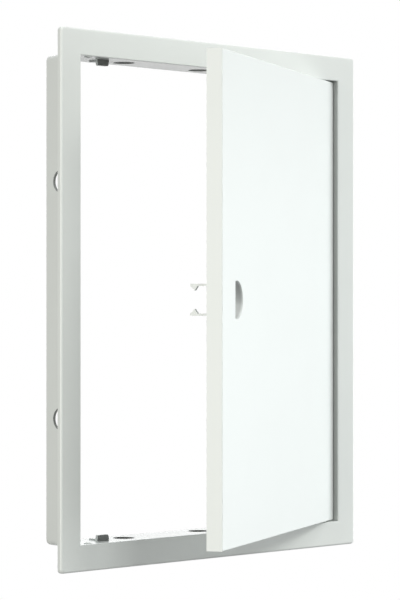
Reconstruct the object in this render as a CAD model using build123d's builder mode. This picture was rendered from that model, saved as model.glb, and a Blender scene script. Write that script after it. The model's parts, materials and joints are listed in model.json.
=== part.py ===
from build123d import *
import os
from math import cos, radians, sin, sqrt

# A moulded access panel: a flanged frame that lines a hole in a wall, and a door hinged in it.
# Millimetres. X runs to the right, Y into the wall, Z up.
# The origin is the middle of the opening, on the flange's back face, which lies on the wall.

# Flange that laps over the face of the wall
flange_width = 218.0
flange_height = 268.0
flange_thickness = 2.5
flange_lap = 11.2
flange_corner_radius = 2.0
flange_edge_radius = 1.1
flange_inner_edge_radius = 0.5

# Collar that lines the hole in the wall, let into the flange's back, with mould draft on its outside
collar_wall = 2.0
collar_back_wall = 1.35
collar_corner_radius = 3.0
collar_seat_depth = 1.0
panel_depth = 24.0

# Fixing holes through the collar: rows of three along the top and bottom, pairs in the sides
fixing_hole_diameter = 11.0
fixing_hole_setback = 13.2
row_hole_spacing = 54.0
side_hole_spacing = 118.0

# Door leaf: a face plate with rims round its back, shown part open
door_gap = 0.8
door_thickness = 8.0
door_plate = 2.5
door_rim = 2.0
door_edge_radius = 0.5
hinge_edge_radius = 2.0
door_open_angle = 25.3

# Pivots: pins on the door in sockets in the frame, with a spare pair of sockets on the other side
pivot_from_side = 8.3
pin_diameter = 2.4
pin_clearance = 0.1
pin_engagement = 1.0
socket_end_clearance = 0.2
boss_wall = 0.55
boss_height = 0.4

# Door stops inside the collar: a post with a low rib behind it and a buffer on its face
stop_from_side = 23.2
stop_base_width = 7.3
stop_tip_width = 6.1
stop_height = 3.1
stop_corner_radius = 0.7
stop_post_thickness = 1.5
buffer_thickness = 1.0
buffer_clearance = 0.3
stop_rib_width = 1.2
stop_rib_height = 0.7
stop_rib_length = 7.8

# Finger pull: a round scoop in the door's face, cut off by a straight grip wall
scoop_radius = 9.4
scoop_depth = 6.0
scoop_grip_offset = 2.3
scoop_from_free_edge = 19.5
cup_wall = 1.2

# Catch: two hooks on the door that close over a strike on the frame
hook_inset = 1.0
hook_width = 2.2
hook_arm = 1.1
hook_half_height = 7.7
hook_barb_gap = 4.4
hook_reach = 17.4
hook_barb_length = 1.5
hook_lead_length = 2.3
hook_nose = 1.0
strike_clearance = 0.4
strike_thickness = 3.0
strike_corner_radius = 1.2
strike_behind_door = 2.0
strike_overlap = 1.0
strike_web = 2.0
strike_web_length = 5.0

# Places that follow from those sizes
front_y = -flange_thickness
back_y = front_y + panel_depth
opening_width = flange_width - 2 * (flange_lap + collar_wall)
opening_height = flange_height - 2 * (flange_lap + collar_wall)
opening_half_width = opening_width / 2
opening_half_height = opening_height / 2
hinge_x = opening_half_width - pivot_from_side
hinge_y = front_y + door_thickness / 2
socket_radius = pin_diameter / 2 + pin_clearance
boss_radius = socket_radius + boss_wall
fixing_hole_radius = fixing_hole_diameter / 2
fixing_hole_y = front_y + fixing_hole_setback
buffer_front_y = front_y + door_thickness + buffer_clearance
post_front_y = buffer_front_y + buffer_thickness
rib_front_y = post_front_y + stop_post_thickness
stop_x = opening_half_width - stop_from_side
sides = {"left": -1, "right": 1}
levels = {"top": 1, "bottom": -1}

os.makedirs("parts", exist_ok=True)


def wall_plane(y):
    """Upright plane at depth y that looks out of the wall, with X to the right and Z up."""
    return Plane.XZ.offset(-y)


def level_plane(z, level):
    """Plane at height z that looks at the middle of the opening from the top or bottom wall."""
    return Plane(origin=(0, 0, z), x_dir=(1, 0, 0), z_dir=(0, 0, -level))


def collar_outline(wall):
    """Outside of the collar where its wall has that thickness, drawn in the open sketch."""
    RectangleRounded(opening_width + 2 * wall, opening_height + 2 * wall, collar_corner_radius)


def write(piece, name):
    """Label a finished piece and write its STEP file."""
    piece.part.label = name
    export_step(piece.part, f"parts/{name}.step")


# Flange: one ring with rounded front edges and a seat for the collar round the back of its opening
with BuildPart() as flange:
    with BuildSketch(wall_plane(0)):
        RectangleRounded(flange_width, flange_height, flange_corner_radius)
        Rectangle(opening_width, opening_height, mode=Mode.SUBTRACT)
    extrude(amount=flange_thickness)
    front_face = flange.faces().sort_by(Axis.Y)[0]
    inner_edges = front_face.inner_wires()[0].edges()
    fillet(front_face.outer_wire().edges(), flange_edge_radius)
    fillet(inner_edges, flange_inner_edge_radius)
    with BuildSketch(wall_plane(0)):
        collar_outline(collar_wall)
    extrude(amount=collar_seat_depth, mode=Mode.SUBTRACT)
write(flange, "flange")

# Collar as one moulding, from its seat in the flange to its thinner back edge
with BuildPart() as collar:
    with BuildSketch(wall_plane(-collar_seat_depth)):
        collar_outline(collar_wall)
    with BuildSketch(wall_plane(back_y)):
        collar_outline(collar_back_wall)
    loft(ruled=True)
    with BuildSketch(wall_plane(-collar_seat_depth)):
        Rectangle(opening_width, opening_height)
    extrude(amount=-(collar_seat_depth + back_y), mode=Mode.SUBTRACT)

# Collar side walls: the full height of the collar, with two fixing holes each
for side, sign in sides.items():
    side_plane = Plane.YZ.offset(sign * opening_half_width)
    with BuildPart() as collar_side:
        add(collar.part)
        split(bisect_by=side_plane, keep=Keep.TOP if sign > 0 else Keep.BOTTOM)
        with BuildSketch(side_plane):
            with Locations((fixing_hole_y, 0)):
                with GridLocations(0, side_hole_spacing, 1, 2):
                    Circle(fixing_hole_radius)
        extrude(amount=sign * collar_wall, mode=Mode.SUBTRACT)
    write(collar_side, f"{side}_collar_wall")

# Collar top and bottom walls: between the sides, with three fixing holes each and two pivot sockets
for place, level in levels.items():
    with BuildPart() as collar_level:
        add(collar.part)
        split(bisect_by=Plane.YZ.offset(-opening_half_width), keep=Keep.TOP)
        split(bisect_by=Plane.YZ.offset(opening_half_width), keep=Keep.BOTTOM)
        split(bisect_by=Plane.XY, keep=Keep.TOP if level > 0 else Keep.BOTTOM)
        with BuildSketch(level_plane(level * opening_half_height, level)):
            with Locations((0, -level * fixing_hole_y)):
                with GridLocations(row_hole_spacing, 0, 3, 1):
                    Circle(fixing_hole_radius)
        extrude(amount=-collar_wall, mode=Mode.SUBTRACT)
        with BuildSketch(level_plane(level * opening_half_height, level)):
            with Locations((0, -level * hinge_y)):
                with GridLocations(2 * hinge_x, 0, 2, 1):
                    Circle(socket_radius)
        extrude(amount=-(pin_engagement + socket_end_clearance), mode=Mode.SUBTRACT)
    write(collar_level, f"{place}_collar_wall")

# Pivot bosses: low rings round the sockets, the right pair for the door and the left pair spare
for place, level in levels.items():
    for side, sign in sides.items():
        with BuildPart() as boss:
            with BuildSketch(level_plane(level * opening_half_height, level)):
                with Locations((sign * hinge_x, -level * hinge_y)):
                    Circle(boss_radius)
                    Circle(socket_radius, mode=Mode.SUBTRACT)
            extrude(amount=boss_height)
        write(boss, f"{place}_{side}_pivot_boss")

# Door stops: a post tapered towards a rounded tip, with a low rib behind it, and a buffer on its face
for place, level in levels.items():
    root_z = level * opening_half_height
    tip_z = level * (opening_half_height - stop_height)
    for side, sign in sides.items():
        post_x = sign * stop_x
        base_left = post_x - stop_base_width / 2
        base_right = post_x + stop_base_width / 2
        tip_left = post_x - stop_tip_width / 2
        tip_right = post_x + stop_tip_width / 2
        outline = [(base_left, root_z), (base_right, root_z), (tip_right, tip_z), (tip_left, tip_z)]
        with BuildPart() as post:
            with BuildSketch(wall_plane(rib_front_y)) as stop_face:
                with BuildLine():
                    Polyline(outline, close=True)
                make_face()
                fillet(stop_face.vertices().sort_by(Axis.Y, reverse=level < 0)[:2], stop_corner_radius)
            extrude(amount=stop_post_thickness)
            with BuildSketch(wall_plane(rib_front_y)):
                with Locations((post_x, root_z - level * stop_rib_height / 2)):
                    Rectangle(stop_rib_width, stop_rib_height)
            extrude(amount=-stop_rib_length)
        write(post, f"{place}_{side}_stop_post")
        with BuildPart() as buffer:
            with BuildSketch(wall_plane(post_front_y)) as stop_face:
                with BuildLine():
                    Polyline(outline, close=True)
                make_face()
                fillet(stop_face.vertices().sort_by(Axis.Y, reverse=level < 0)[:2], stop_corner_radius)
            extrude(amount=buffer_thickness)
        write(buffer, f"{place}_{side}_stop_buffer")

# The door's own frame: its origin is on the hinge axis, turned to the angle the door stands open
open_angle = radians(door_open_angle)
door_frame = Plane(
    origin=(hinge_x, hinge_y, 0), x_dir=(cos(open_angle), sin(open_angle), 0), z_dir=(0, 0, 1)
)
across = door_frame.x_dir
inward = door_frame.y_dir
hinge_end = pivot_from_side - door_gap
free_end = hinge_end - (opening_width - 2 * door_gap)
door_front = -door_thickness / 2
plate_back = door_front + door_plate
door_back = door_thickness / 2
door_half_height = opening_half_height - door_gap


def door_point(x, y, z=0):
    """Point of the door's frame: x from the hinge axis, y into the wall when shut, z up."""
    return door_frame.from_local_coords((x, y, z))


def door_back_plane(x, y):
    """Plane across the door that looks into the wall when the door is shut."""
    return Plane(origin=door_point(x, y), x_dir=across, z_dir=inward)


# Finger scoop: the hollow of the finger pull, a part of a ball behind a straight grip wall
ball_radius = (scoop_radius**2 + scoop_depth**2) / (2 * scoop_depth)
ball_y = door_front + scoop_depth - ball_radius
grip_x = free_end + scoop_from_free_edge
scoop_x = grip_x + scoop_grip_offset
with BuildPart(door_frame) as finger_scoop:
    with Locations((scoop_x, ball_y, 0)):
        Sphere(ball_radius)
    split(bisect_by=Plane(origin=door_point(grip_x, 0), z_dir=across), keep=Keep.TOP)

# Door face plate: rounded at its front edges, most of all at the hinge, and open at the finger pull
with BuildPart() as face_plate:
    with BuildSketch(door_back_plane((free_end + hinge_end) / 2, plate_back)):
        Rectangle(hinge_end - free_end, 2 * door_half_height)
    extrude(amount=-door_plate)
    front_edges = face_plate.faces().sort_by(Axis((0, 0, 0), inward))[0].edges()
    hinge_edge = front_edges.sort_by(Axis((0, 0, 0), across))[-1]
    fillet(hinge_edge, hinge_edge_radius)
    front_edges = face_plate.faces().sort_by(Axis((0, 0, 0), inward))[0].edges()
    fillet(front_edges.sort_by(Axis((0, 0, 0), across))[:-1], door_edge_radius)
    add(finger_scoop.part, mode=Mode.SUBTRACT)
write(face_plate, "door_face_plate")

# Door rims: strips round the back of the face plate that give the door its depth
rim_depth = door_back - plate_back
rim_y = (door_back + plate_back) / 2
for place, level in levels.items():
    with BuildPart(door_frame) as level_rim:
        with Locations(((free_end + hinge_end) / 2, rim_y, level * (door_half_height - door_rim / 2))):
            Box(hinge_end - free_end, rim_depth, door_rim)
    write(level_rim, f"door_{place}_rim")
for end, rim_x in (("free", free_end + door_rim / 2), ("hinge", hinge_end - door_rim / 2)):
    with BuildPart(door_frame) as end_rim:
        with Locations((rim_x, rim_y, 0)):
            Box(door_rim, rim_depth, 2 * (door_half_height - door_rim))
    write(end_rim, f"door_{end}_rim")

# Finger cup: the shell behind the face plate that closes the finger scoop
scoop_radius_at_cup = sqrt(ball_radius**2 - (plate_back - ball_y) ** 2)
cup_radius = scoop_radius_at_cup + cup_wall
with BuildPart() as finger_cup:
    with BuildSketch(door_back_plane(scoop_x, plate_back)):
        Circle(cup_radius)
        with Locations((-(scoop_grip_offset + cup_wall), 0)):
            Rectangle(cup_radius, 2 * cup_radius, align=(Align.MAX, Align.CENTER), mode=Mode.SUBTRACT)
    extrude(amount=scoop_depth - door_plate + cup_wall)
    add(finger_scoop.part, mode=Mode.SUBTRACT)
write(finger_cup, "finger_cup")

# Catch hooks: arms from the back of the face plate, each with a barb that faces the other arm
hook_x = free_end + door_rim + hook_inset
hook_end = door_front + hook_reach
barb_tip = hook_end - hook_lead_length
barb_heel = barb_tip - hook_barb_length
arm_inner = hook_half_height - hook_arm
nose_inner = hook_half_height - hook_nose
for place, level in (("upper", 1), ("lower", -1)):
    with BuildPart() as hook:
        with BuildSketch(Plane(origin=door_point(hook_x, 0), x_dir=inward, z_dir=across)):
            with BuildLine():
                Polyline(
                    (plate_back, level * hook_half_height),
                    (hook_end, level * hook_half_height),
                    (hook_end, level * nose_inner),
                    (barb_tip, level * hook_barb_gap),
                    (barb_heel, level * arm_inner),
                    (plate_back, level * arm_inner),
                    close=True,
                )
            make_face()
        extrude(amount=hook_width)
    write(hook, f"{place}_catch_hook")

# Pivot pins: stubs on the ends of the top and bottom rims, on the hinge axis
for place, level in levels.items():
    with BuildPart() as pin:
        with BuildSketch(level_plane(level * door_half_height, -level)):
            with Locations((hinge_x, level * hinge_y)):
                Circle(pin_diameter / 2)
        extrude(amount=door_gap + pin_engagement)
    write(pin, f"{place}_pivot_pin")

# Catch strike: a rounded bar on the left collar wall between the hooks of the shut door, with a web
strike_half_height = hook_barb_gap - strike_clearance
strike_front_y = front_y + door_thickness + strike_behind_door
strike_back_y = strike_front_y + strike_thickness
strike_reach = door_gap + door_rim + hook_inset + hook_width + strike_overlap
with BuildPart() as strike:
    with BuildSketch(Plane.YZ.offset(-opening_half_width)):
        with Locations(((strike_front_y + strike_back_y) / 2, 0)):
            RectangleRounded(strike_thickness, 2 * strike_half_height, strike_corner_radius)
    extrude(amount=strike_reach)
    with BuildSketch(Plane.YZ.offset(-opening_half_width)):
        with Locations((strike_back_y, 0)):
            Rectangle(strike_web_length, strike_web, align=(Align.MIN, Align.CENTER))
    extrude(amount=strike_reach)
write(strike, "catch_strike")
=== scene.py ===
import json
import math

import bpy
import numpy as np
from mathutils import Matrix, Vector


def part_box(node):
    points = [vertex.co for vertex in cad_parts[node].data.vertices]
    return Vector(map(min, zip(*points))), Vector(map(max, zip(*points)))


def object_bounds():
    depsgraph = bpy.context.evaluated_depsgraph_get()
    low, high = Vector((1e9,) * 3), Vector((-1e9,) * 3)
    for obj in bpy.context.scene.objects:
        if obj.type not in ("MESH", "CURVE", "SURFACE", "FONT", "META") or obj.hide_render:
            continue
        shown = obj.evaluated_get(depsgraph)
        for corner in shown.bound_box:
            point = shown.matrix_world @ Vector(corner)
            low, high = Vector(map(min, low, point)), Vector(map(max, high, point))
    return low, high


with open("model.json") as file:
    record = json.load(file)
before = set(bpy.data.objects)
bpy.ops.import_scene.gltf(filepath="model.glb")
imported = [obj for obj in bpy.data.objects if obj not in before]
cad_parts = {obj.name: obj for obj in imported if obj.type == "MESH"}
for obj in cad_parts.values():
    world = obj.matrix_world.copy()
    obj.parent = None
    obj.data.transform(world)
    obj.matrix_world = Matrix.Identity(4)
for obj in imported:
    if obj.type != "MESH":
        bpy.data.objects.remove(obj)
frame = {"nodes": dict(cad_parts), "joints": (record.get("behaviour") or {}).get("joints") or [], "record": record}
cad_low, cad_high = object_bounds()


# Flange: the flat ring that laps over the face of the wall round the hole.
# White plastic, moulded in one with the collar, with a fine satin grain from the mould and brighter
# edges where hands and cloths have rubbed it; painted shade darkens the gap beside the hinge.

def new_group(name, inputs, outputs):
    """Empty shader node group with named sockets: inputs give a kind and a start value, outputs a kind."""
    group = bpy.data.node_groups.new(name, "ShaderNodeTree")
    for label, (kind, value) in inputs.items():
        socket = group.interface.new_socket(label, in_out="INPUT", socket_type="NodeSocket" + kind)
        socket.default_value = value
    for label, kind in outputs.items():
        group.interface.new_socket(label, in_out="OUTPUT", socket_type="NodeSocket" + kind)
    return group, group.nodes.new("NodeGroupInput").outputs, group.nodes.new("NodeGroupOutput").inputs


def add_node(tree, kind, inputs, **settings):
    """New node with its settings; each input is a fixed value or the output socket that feeds it."""
    node = tree.nodes.new("ShaderNode" + kind)
    for label, value in settings.items():
        setattr(node, label, value)
    for socket, value in inputs.items():
        if isinstance(value, bpy.types.NodeSocket):
            tree.links.new(value, node.inputs[socket])
        else:
            node.inputs[socket].default_value = value
    return node


cloud_detail = 3.0
grain_detail = 2.0
noise_middle = 0.5


def moulded_skin_group():
    """Skin of a moulding: colour and roughness drift slowly over it, and its height is a fine even grain."""
    group, given, result = new_group(
        "Moulded skin",
        {
            "Colour": ("Color", (0.8, 0.8, 0.8, 1.0)),
            "Colour drift": ("Float", 0.01),
            "Roughness": ("Float", 0.4),
            "Roughness drift": ("Float", 0.05),
            "Cloud scale": ("Float", 40.0),
            "Grain scale": ("Float", 3000.0),
        },
        {"Colour": "Color", "Roughness": "Float", "Height": "Float"},
    )
    place = add_node(group, "TexCoord", {}).outputs["Object"]
    cloud = add_node(
        group, "TexNoise", {"Vector": place, "Scale": given["Cloud scale"], "Detail": cloud_detail}
    )
    drift = add_node(group, "Math", {0: cloud.outputs["Fac"], 1: noise_middle}, operation="SUBTRACT")
    tint = add_node(
        group, "Math", {0: drift.outputs[0], 1: given["Colour drift"], 2: 1.0}, operation="MULTIPLY_ADD"
    )
    colour = add_node(
        group, "VectorMath", {"Vector": given["Colour"], "Scale": tint.outputs[0]}, operation="SCALE"
    )
    grain = add_node(
        group, "TexNoise", {"Vector": place, "Scale": given["Grain scale"], "Detail": grain_detail}
    )
    sheen = add_node(
        group,
        "Math",
        {0: drift.outputs[0], 1: given["Roughness drift"], 2: given["Roughness"]},
        operation="MULTIPLY_ADD",
    )
    group.links.new(colour.outputs["Vector"], result["Colour"])
    group.links.new(sheen.outputs[0], result["Roughness"])
    group.links.new(grain.outputs["Fac"], result["Height"])
    return group


def rubbed_edge_group():
    """Mask that rises to 1 at the outline of a rectangle in X and Z, over a band as wide as Reach."""
    group, given, result = new_group(
        "Rubbed edge",
        {
            "Vector": ("Vector", (0.0, 0.0, 0.0)),
            "Half width": ("Float", 0.1),
            "Half height": ("Float", 0.1),
            "Reach": ("Float", 0.002),
        },
        {"Mask": "Float"},
    )
    axes = add_node(group, "SeparateXYZ", {"Vector": given["Vector"]}).outputs
    past = []
    for axis, half in (("X", "Half width"), ("Z", "Half height")):
        size = add_node(group, "Math", {0: axes[axis]}, operation="ABSOLUTE")
        past.append(add_node(group, "Math", {0: size.outputs[0], 1: given[half]}, operation="SUBTRACT"))
    nearest = add_node(group, "Math", {0: past[0].outputs[0], 1: past[1].outputs[0]}, operation="MAXIMUM")
    share = add_node(group, "Math", {0: nearest.outputs[0], 1: given["Reach"]}, operation="DIVIDE")
    rise = add_node(
        group,
        "MapRange",
        {"Value": share.outputs[0], "From Min": -1.0, "From Max": 0.0},
        interpolation_type="SMOOTHSTEP",
    )
    group.links.new(rise.outputs["Result"], result["Mask"])
    return group


def gap_shade_group():
    """Mask of a strip of an upright wall: 1 from Front to Back in Y, fading over Fade at both ends."""
    group, given, result = new_group(
        "Gap shade",
        {
            "Vector": ("Vector", (0.0, 0.0, 0.0)),
            "Wall": ("Float", 0.1),
            "Front": ("Float", -0.002),
            "Back": ("Float", 0.002),
            "Fade": ("Float", 0.0005),
            "Skin": ("Float", 0.0003),
        },
        {"Mask": "Float"},
    )
    axes = add_node(group, "SeparateXYZ", {"Vector": given["Vector"]}).outputs
    on_wall = add_node(
        group, "Math", {0: axes["X"], 1: given["Wall"], 2: given["Skin"]}, operation="COMPARE"
    )
    past_front = add_node(group, "Math", {0: axes["Y"], 1: given["Front"]}, operation="SUBTRACT")
    to_back = add_node(group, "Math", {0: given["Back"], 1: axes["Y"]}, operation="SUBTRACT")
    within = add_node(group, "Math", {0: past_front.outputs[0], 1: to_back.outputs[0]}, operation="MINIMUM")
    share = add_node(group, "Math", {0: within.outputs[0], 1: given["Fade"]}, operation="DIVIDE")
    rise = add_node(group, "MapRange", {"Value": share.outputs[0]}, interpolation_type="SMOOTHSTEP")
    mask = add_node(
        group, "Math", {0: on_wall.outputs[0], 1: rise.outputs["Result"]}, operation="MULTIPLY"
    )
    group.links.new(mask.outputs[0], result["Mask"])
    return group


moulded_skin = moulded_skin_group()
rubbed_edge = rubbed_edge_group()
gap_shade = gap_shade_group()
moulded_ior = 1.5
rub_brightening = 0.03
rub_smoothing = 0.2
# Painted shade beside the hinge: how much it darkens and roughens a strip of the right wall, and where it starts
# and ends behind the flange's front.
gap_shade_strength = 0.42
gap_shade_roughening = 0.5
gap_shade_start = 0.0004
gap_shade_end = 0.006


def moulded_material(name, skin, grain_depth):
    """Plastic or rubber straight from a mould: the skin group feeds colour, roughness and a fine bump."""
    material = bpy.data.materials.new(name)
    material.use_nodes = True
    tree = material.node_tree
    shader = tree.nodes["Principled BSDF"]
    skin_node = add_node(tree, "Group", {}, node_tree=moulded_skin)
    for label, value in skin.items():
        skin_node.inputs[label].default_value = value
    bump = add_node(tree, "Bump", {"Height": skin_node.outputs["Height"], "Distance": grain_depth})
    tree.links.new(skin_node.outputs["Colour"], shader.inputs["Base Color"])
    tree.links.new(skin_node.outputs["Roughness"], shader.inputs["Roughness"])
    tree.links.new(bump.outputs["Normal"], shader.inputs["Normal"])
    shader.inputs["IOR"].default_value = moulded_ior
    return material


def retouch(material, mask, colour_gain, roughness_gain):
    """Where the mask is 1, the material's colour and roughness rise by those shares; where 0, they stay."""
    tree = material.node_tree
    shader = tree.nodes["Principled BSDF"]
    colour = shader.inputs["Base Color"].links[0].from_socket
    roughness = shader.inputs["Roughness"].links[0].from_socket
    tint = add_node(tree, "Math", {0: mask, 1: colour_gain, 2: 1.0}, operation="MULTIPLY_ADD")
    tinted = add_node(tree, "VectorMath", {"Vector": colour, "Scale": tint.outputs[0]}, operation="SCALE")
    sheen = add_node(tree, "Math", {0: mask, 1: roughness_gain, 2: 1.0}, operation="MULTIPLY_ADD")
    altered = add_node(tree, "Math", {0: roughness, 1: sheen.outputs[0]}, operation="MULTIPLY")
    tree.links.new(tinted.outputs["Vector"], shader.inputs["Base Color"])
    tree.links.new(altered.outputs[0], shader.inputs["Roughness"])


def piece_coordinates(material, centre, turn):
    """Object coordinates measured from a centre and turned about Z with the piece."""
    tree = material.node_tree
    return add_node(
        tree,
        "Mapping",
        {
            "Vector": add_node(tree, "TexCoord", {}).outputs["Object"],
            "Location": centre,
            "Rotation": (0.0, 0.0, turn),
        },
        vector_type="TEXTURE",
    ).outputs["Vector"]


def rub_edges(material, centre, turn, half_width, half_height, reach):
    """Outer edges that hands and cloths have rubbed: a little brighter and smoother than the rest."""
    edge = add_node(
        material.node_tree,
        "Group",
        {
            "Vector": piece_coordinates(material, centre, turn),
            "Half width": half_width,
            "Half height": half_height,
            "Reach": reach,
        },
        node_tree=rubbed_edge,
    )
    retouch(material, edge.outputs["Mask"], colour_gain=rub_brightening, roughness_gain=-rub_smoothing)


def paint_gap_shade(material, front):
    """Painted shade beside the hinge, where the door's edge turns close to the right side: a darker, rougher
    strip.
    """
    tree = material.node_tree
    strip = add_node(
        tree,
        "Group",
        {
            "Vector": add_node(tree, "TexCoord", {}).outputs["Object"],
            "Wall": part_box("right_collar_wall")[0].x,
            "Front": front + gap_shade_start,
            "Back": front + gap_shade_end,
        },
        node_tree=gap_shade,
    )
    retouch(material, strip.outputs["Mask"], -gap_shade_strength, gap_shade_roughening)


def dress(material, slot, *nodes):
    """Give CAD nodes their finish; the slot argument, the record's material slot that it stands for, is not used.
    """
    for name in nodes:
        piece = frame["nodes"][name]
        piece.data.materials.clear()
        piece.data.materials.append(material)


frame_skin = {
    "Colour": (0.84, 0.865, 0.85, 1.0),
    "Colour drift": 0.03,
    "Roughness": 0.36,
    "Roughness drift": 0.12,
    "Cloud scale": 45.0,
    "Grain scale": 3200.0,
}
frame_grain_depth = 0.000006
flange_rub_reach = 0.0016
flange_low, flange_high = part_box("flange")
flange_finish = moulded_material("flange plastic", frame_skin, frame_grain_depth)
rub_edges(flange_finish, (0.0, 0.0, 0.0), 0.0, flange_high.x, flange_high.z, flange_rub_reach)
paint_gap_shade(flange_finish, flange_low.y)
dress(flange_finish, "frame_plastic", "flange")


# Collar: the four walls that line the hole in the wall behind the flange, with round fixing holes.
# The same white plastic, a little glossier than the flange and moulded in one with it.
# Painted shade darkens the walls of the holes and the gap beside the hinge.

def hole_row_group():
    """Mask that is 1 on the walls of round holes in an evenly spaced row, and 0 outside them."""
    group, given, result = new_group(
        "Hole row",
        {
            "Along": ("Float", 0.0),
            "First": ("Float", 0.0),
            "Spacing": ("Float", 0.05),
            "Depth": ("Float", 0.0),
            "Hole depth": ("Float", 0.01),
            "Radius": ("Float", 0.005),
            "Fringe": ("Float", 0.0002),
        },
        {"Mask": "Float"},
    )
    past = add_node(group, "Math", {0: given["Along"], 1: given["First"]}, operation="SUBTRACT")
    share = add_node(group, "Math", {0: past.outputs[0], 1: given["Spacing"]}, operation="DIVIDE")
    whole = add_node(group, "Math", {0: share.outputs[0]}, operation="ROUND")
    rest = add_node(group, "Math", {0: share.outputs[0], 1: whole.outputs[0]}, operation="SUBTRACT")
    across = add_node(group, "Math", {0: rest.outputs[0], 1: given["Spacing"]}, operation="MULTIPLY")
    inward = add_node(group, "Math", {0: given["Depth"], 1: given["Hole depth"]}, operation="SUBTRACT")
    offset = add_node(group, "CombineXYZ", {"X": across.outputs[0], "Y": inward.outputs[0]})
    distance = add_node(group, "VectorMath", {0: offset.outputs["Vector"]}, operation="LENGTH")
    gap = add_node(group, "Math", {0: distance.outputs["Value"], 1: given["Radius"]}, operation="SUBTRACT")
    fade = add_node(group, "Math", {0: gap.outputs[0], 1: given["Fringe"]}, operation="DIVIDE")
    inside = add_node(group, "MapRange", {"Value": fade.outputs[0], "To Min": 1.0, "To Max": 0.0})
    group.links.new(inside.outputs["Result"], result["Mask"])
    return group


hole_row = hole_row_group()
# How much rougher the painted shade makes the hole walls.
hole_shade_roughening = 1.5


def paint_hole_shade(material, axis, first, second, shade_share):
    """Painted shade on the walls of a row of fixing holes along an axis, as the record places the first two."""
    tree = material.node_tree
    place = add_node(tree, "TexCoord", {}).outputs["Object"]
    axes = add_node(tree, "SeparateXYZ", {"Vector": place}).outputs
    start = first["pos_m"]["XYZ".index(axis)]
    row = add_node(
        tree,
        "Group",
        {
            "Along": axes[axis],
            "First": start,
            "Spacing": second["pos_m"]["XYZ".index(axis)] - start,
            "Depth": axes["Y"],
            "Hole depth": first["pos_m"][1],
            "Radius": first["dims"]["r_mm"] / 1000.0,
        },
        node_tree=hole_row,
    )
    retouch(material, row.outputs["Mask"], -shade_share, hole_shade_roughening)


collar_roughness = 0.22
# How much painted shade darkens the hole walls: in the top and bottom walls, and in the sides.
row_hole_shade = 0.78
side_hole_shade = 0.6
collar_skin = dict(frame_skin, Roughness=collar_roughness)
mounts = {mount["name"]: mount for mount in frame["record"]["mounts"]}
row_wall_finish = moulded_material("collar row wall plastic", collar_skin, frame_grain_depth)
paint_hole_shade(row_wall_finish, "X", mounts["top_left_fixing"], mounts["top_centre_fixing"], row_hole_shade)
dress(row_wall_finish, "frame_plastic", "top_collar_wall", "bottom_collar_wall")
side_wall_finish = moulded_material("collar side wall plastic", collar_skin, frame_grain_depth)
paint_hole_shade(side_wall_finish, "Z", mounts["left_lower_fixing"], mounts["left_upper_fixing"], side_hole_shade)
paint_gap_shade(side_wall_finish, flange_low.y)
dress(side_wall_finish, "frame_plastic", "left_collar_wall", "right_collar_wall")


# Pivot bosses: low rings inside the top and bottom walls, round the sockets that the door turns in.
# Moulded with the collar; the right pair carries the door and the left pair is spare.

collar_finish = moulded_material("collar plastic", collar_skin, frame_grain_depth)
corners = [f"{level}_{side}" for level in ("top", "bottom") for side in ("left", "right")]
for corner in corners:
    dress(collar_finish, "frame_plastic", f"{corner}_pivot_boss")


# Stop posts: small tapered posts inside the top and bottom walls, each with a low rib behind it.
# Moulded with the collar; the shut door comes to rest against the buffers on their faces.

for corner in corners:
    dress(collar_finish, "frame_plastic", f"{corner}_stop_post")


# Stop buffers: dark grey pads on the faces of the stop posts that quieten the closing door.
# Soft moulded rubber with a dull, slightly grainy surface, pressed on to the posts.

buffer_skin = {
    "Colour": (0.17, 0.175, 0.172, 1.0),
    "Colour drift": 0.25,
    "Roughness": 0.55,
    "Roughness drift": 0.2,
    "Cloud scale": 400.0,
    "Grain scale": 5000.0,
}
buffer_grain_depth = 0.00001
buffer_finish = moulded_material("buffer rubber", buffer_skin, buffer_grain_depth)
for corner in corners:
    dress(buffer_finish, "buffer_rubber", f"{corner}_stop_buffer")


# Catch strike: the bar on the inside of the left wall that the door's hooks close over.
# Moulded with the collar in the same white plastic, with a web behind it for stiffness.

dress(collar_finish, "frame_plastic", "catch_strike")


# Door: a flat face plate with rims round its back, hung on two pins and shown part open.
# White plastic, moulded in one piece, a little smoother and whiter than the frame.

door_skin = {
    "Colour": (0.86, 0.885, 0.875, 1.0),
    "Colour drift": 0.02,
    "Roughness": 0.34,
    "Roughness drift": 0.1,
    "Cloud scale": 35.0,
    "Grain scale": 3600.0,
}
door_grain_depth = 0.000005
door_rub_reach = 0.0014
hinge = frame["joints"][0]
door_turn = -math.radians(hinge["range_deg"][0])
plate_low, plate_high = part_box("door_face_plate")
door_centre = (plate_low + plate_high) / 2
door_half_width = (plate_high.x - plate_low.x) / 2 / math.cos(door_turn)
door_finish = moulded_material("door plastic", door_skin, door_grain_depth)
rub_edges(door_finish, door_centre, door_turn, door_half_width, plate_high.z, door_rub_reach)
dress(
    door_finish, "door_plastic",
    "door_face_plate", "door_top_rim", "door_bottom_rim", "door_free_rim", "door_hinge_rim",
)


# Finger pull: a scoop in the door's face, shaped as part of a ball, with a closed cup behind it.
# Moulded with the door in the same plastic, with painted shade inside the scoop.
# The ball's place is measured from the hinge on the shut door: along its face, and into the wall.

scoop_ball_radius = 0.010363
scoop_ball_place = (-0.1607, -0.008363)
scoop_depth = 0.006
# Painted shade in the scoop: the depth over which it comes in, how much it darkens, and how much rougher it makes
# the surface.
scoop_shade_depth = 0.0012
scoop_shade = 0.38
scoop_shade_roughening = 0.3


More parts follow.
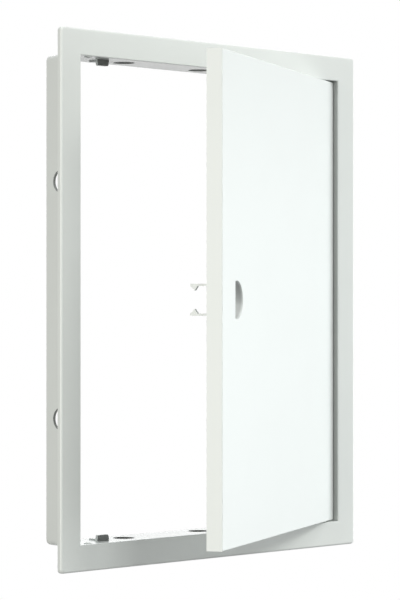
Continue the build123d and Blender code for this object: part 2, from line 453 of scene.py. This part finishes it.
def ball_hollow_group():
    """Mask of a hollow cut by a ball round the origin: 0 at its rim, rising to 1 at the given depth below."""
    group, given, result = new_group(
        "Ball hollow",
        {
            "Vector": ("Vector", (0.0, 0.0, 0.0)),
            "Ball radius": ("Float", 0.01),
            "Hollow depth": ("Float", 0.006),
            "Shade depth": ("Float", 0.002),
            "Skin": ("Float", 0.00015),
        },
        {"Mask": "Float"},
    )
    distance = add_node(group, "VectorMath", {0: given["Vector"]}, operation="LENGTH")
    limit = add_node(group, "Math", {0: given["Ball radius"], 1: given["Skin"]}, operation="ADD")
    inside = add_node(
        group, "Math", {0: distance.outputs["Value"], 1: limit.outputs[0]}, operation="LESS_THAN"
    )
    rim = add_node(group, "Math", {0: given["Ball radius"], 1: given["Hollow depth"]}, operation="SUBTRACT")
    inward = add_node(group, "SeparateXYZ", {"Vector": given["Vector"]}).outputs["Y"]
    below = add_node(group, "Math", {0: inward, 1: rim.outputs[0]}, operation="SUBTRACT")
    share = add_node(group, "Math", {0: below.outputs[0], 1: given["Shade depth"]}, operation="DIVIDE")
    rise = add_node(group, "MapRange", {"Value": share.outputs[0]}, interpolation_type="SMOOTHSTEP")
    mask = add_node(group, "Math", {0: inside.outputs[0], 1: rise.outputs["Result"]}, operation="MULTIPLY")
    group.links.new(mask.outputs[0], result["Mask"])
    return group


ball_hollow = ball_hollow_group()


def paint_scoop_shade(material):
    """Painted shade inside the scoop, whose ball turns about the hinge with the door."""
    along, inward = scoop_ball_place
    centre = (
        hinge["pos_m"][0] + along * math.cos(door_turn) - inward * math.sin(door_turn),
        hinge["pos_m"][1] + along * math.sin(door_turn) + inward * math.cos(door_turn),
        0.0,
    )
    hollow = add_node(
        material.node_tree,
        "Group",
        {
            "Vector": piece_coordinates(material, centre, door_turn),
            "Ball radius": scoop_ball_radius,
            "Hollow depth": scoop_depth,
            "Shade depth": scoop_shade_depth,
        },
        node_tree=ball_hollow,
    )
    retouch(material, hollow.outputs["Mask"], -scoop_shade, scoop_shade_roughening)


paint_scoop_shade(door_finish)
cup_finish = moulded_material("finger cup plastic", door_skin, door_grain_depth)
paint_scoop_shade(cup_finish)
dress(cup_finish, "door_plastic", "finger_cup")


# Catch hooks and pivot pins: the two snap hooks behind the door's free edge, and the stubs it turns on.
# All moulded with the door, from the same white plastic, with no rubbed edges.

fittings_finish = moulded_material("door fittings plastic", door_skin, door_grain_depth)
dress(
    fittings_finish, "door_plastic",
    "upper_catch_hook", "lower_catch_hook", "top_pivot_pin", "bottom_pivot_pin",
)


# Floor: a round pale studio floor a little way below the panel, which hangs free above it.
# Matt and nearly white, it fades into the white background towards its rim.
# It takes the panel's shadow and throws no light back up at it.

floor_drop = 0.17
floor_radius = 1.0
floor_rings = 24
floor_spokes = 96
floor_fade_start = 0.4
floor_colour = (0.8, 0.8, 0.8, 1.0)
floor_roughness = 0.9


def disc_mesh(name, radius, rings, spokes, height):
    """Flat disc: ring i of n has radius r*i/n, and spoke j of m stands at the angle 2*pi*j/m."""
    distance = np.linspace(0.0, radius, rings + 1)[1:, None]
    angle = np.linspace(0.0, 2.0 * math.pi, spokes, endpoint=False)[None, :]
    points = np.stack(
        [distance * np.cos(angle), distance * np.sin(angle), np.full((rings, spokes), height)], axis=-1
    ).reshape(-1, 3)
    points = np.vstack([points, [[0.0, 0.0, height]]])
    ring = np.arange(rings - 1)[:, None] * spokes
    here = np.arange(spokes)[None, :]
    after = (here + 1) % spokes
    quads = np.stack([ring + here, ring + spokes + here, ring + spokes + after, ring + after], axis=-1)
    spoke = np.arange(spokes)
    middle = np.stack([np.full(spokes, rings * spokes), spoke, (spoke + 1) % spokes], axis=-1)
    mesh = bpy.data.meshes.new(name)
    mesh.from_pydata(points.tolist(), [], quads.reshape(-1, 4).tolist() + middle.tolist())
    return mesh


floor_mesh = disc_mesh("studio_floor", floor_radius, floor_rings, floor_spokes, cad_low.z - floor_drop)
floor = bpy.data.objects.new("studio_floor", floor_mesh)
bpy.context.scene.collection.objects.link(floor)
floor_finish = bpy.data.materials.new("studio floor")
floor_finish.use_nodes = True
tree = floor_finish.node_tree
matt = tree.nodes["Principled BSDF"]
matt.inputs["Base Color"].default_value = floor_colour
matt.inputs["Roughness"].default_value = floor_roughness
clear = add_node(tree, "BsdfTransparent", {})
place = add_node(tree, "TexCoord", {})
flat = add_node(tree, "VectorMath", {0: place.outputs["Object"], 1: (1.0, 1.0, 0.0)}, operation="MULTIPLY")
reach = add_node(tree, "VectorMath", {0: flat.outputs["Vector"]}, operation="LENGTH")
fade = add_node(
    tree,
    "MapRange",
    {
        "Value": reach.outputs["Value"],
        "From Min": floor_fade_start * floor_radius,
        "From Max": floor_radius,
    },
    interpolation_type="SMOOTHSTEP",
)
blend = add_node(tree, "MixShader", {0: fade.outputs["Result"], 1: matt.outputs[0], 2: clear.outputs[0]})
tree.links.new(blend.outputs[0], tree.nodes["Material Output"].inputs["Surface"])
floor.data.materials.append(floor_finish)
floor.visible_diffuse = False


# Studio light: a white background that only the camera and reflections see, and a faint even surround.
# Seven soft square lamps stand round the panel: two in front, one above, a cool one to the right, a faintly
# warm one to the left, and two behind, one high up and a weak low one, that light the bottom wall's inside.

surround = 0.16
world = bpy.data.worlds.new("studio")
world.use_nodes = True
bpy.context.scene.world = world
tree = world.node_tree
rays = add_node(tree, "LightPath", {})
seen = rays.outputs["Is Camera Ray"]
for kind in ("Is Glossy Ray", "Is Transmission Ray"):
    seen = add_node(tree, "Math", {0: seen, 1: rays.outputs[kind]}, operation="MAXIMUM").outputs[0]
level = add_node(tree, "MapRange", {"Value": seen, "To Min": surround, "To Max": 1.0})
tree.links.new(level.outputs["Result"], tree.nodes["Background"].inputs["Strength"])
tree.nodes["Background"].inputs["Color"].default_value = (1.0, 1.0, 1.0, 1.0)
lamp_distance = 2.6


def soft_light(name, azimuth, elevation, size, power, colour):
    """Square area lamp aimed at the panel's middle; azimuth 0 stands in front and 90 to the right."""
    turn = math.radians(azimuth)
    rise = math.radians(elevation)
    lamp = bpy.data.lights.new(name, "AREA")
    lamp.size = size
    lamp.energy = power
    lamp.color = colour
    holder = bpy.data.objects.new(name, lamp)
    holder.location = (
        lamp_distance * math.sin(turn) * math.cos(rise),
        -lamp_distance * math.cos(turn) * math.cos(rise),
        lamp_distance * math.sin(rise),
    )
    holder.rotation_euler = (math.pi / 2 - rise, 0.0, turn)
    holder.visible_camera = False
    bpy.context.scene.collection.objects.link(holder)


soft_light("front light", azimuth=-10.0, elevation=30.0, size=0.8, power=16.2, colour=(0.97, 1.0, 0.97))
soft_light("right front light", azimuth=16.0, elevation=30.0, size=0.8, power=14.1, colour=(0.98, 1.0, 0.94))
soft_light("top light", azimuth=28.0, elevation=62.0, size=0.8, power=15.2, colour=(1.0, 1.0, 1.0))
soft_light("right light", azimuth=75.0, elevation=-8.0, size=1.4, power=30.0, colour=(0.92, 0.99, 1.0))
soft_light("left light", azimuth=-77.0, elevation=-3.0, size=1.6, power=35.0, colour=(1.0, 1.0, 0.93))
soft_light("back light", azimuth=165.0, elevation=65.0, size=1.1, power=18.0, colour=(0.91, 0.97, 0.97))
soft_light("back right light", azimuth=135.0, elevation=17.0, size=1.1, power=4.8, colour=(1.0, 1.0, 1.0))


# Camera: a long lens just below the panel's middle, 45 degrees to its left, as in the photograph.
# It stands 1.27 m from the panel, unshifted, and the panel fills the upright picture.

camera_azimuth = -45.379
camera_rise = 0.222
camera_place = (-0.90514, -0.88358, -0.00462)
camera_lens = 145.54
camera = bpy.data.objects.new("camera", bpy.data.cameras.new("camera"))
camera.data.lens = camera_lens
camera.location = camera_place
camera.rotation_euler = (math.radians(90.0 + camera_rise), 0.0, math.radians(camera_azimuth))
bpy.context.scene.collection.objects.link(camera)
bpy.context.scene.camera = camera
bpy.context.scene.view_settings.view_transform = "Standard"
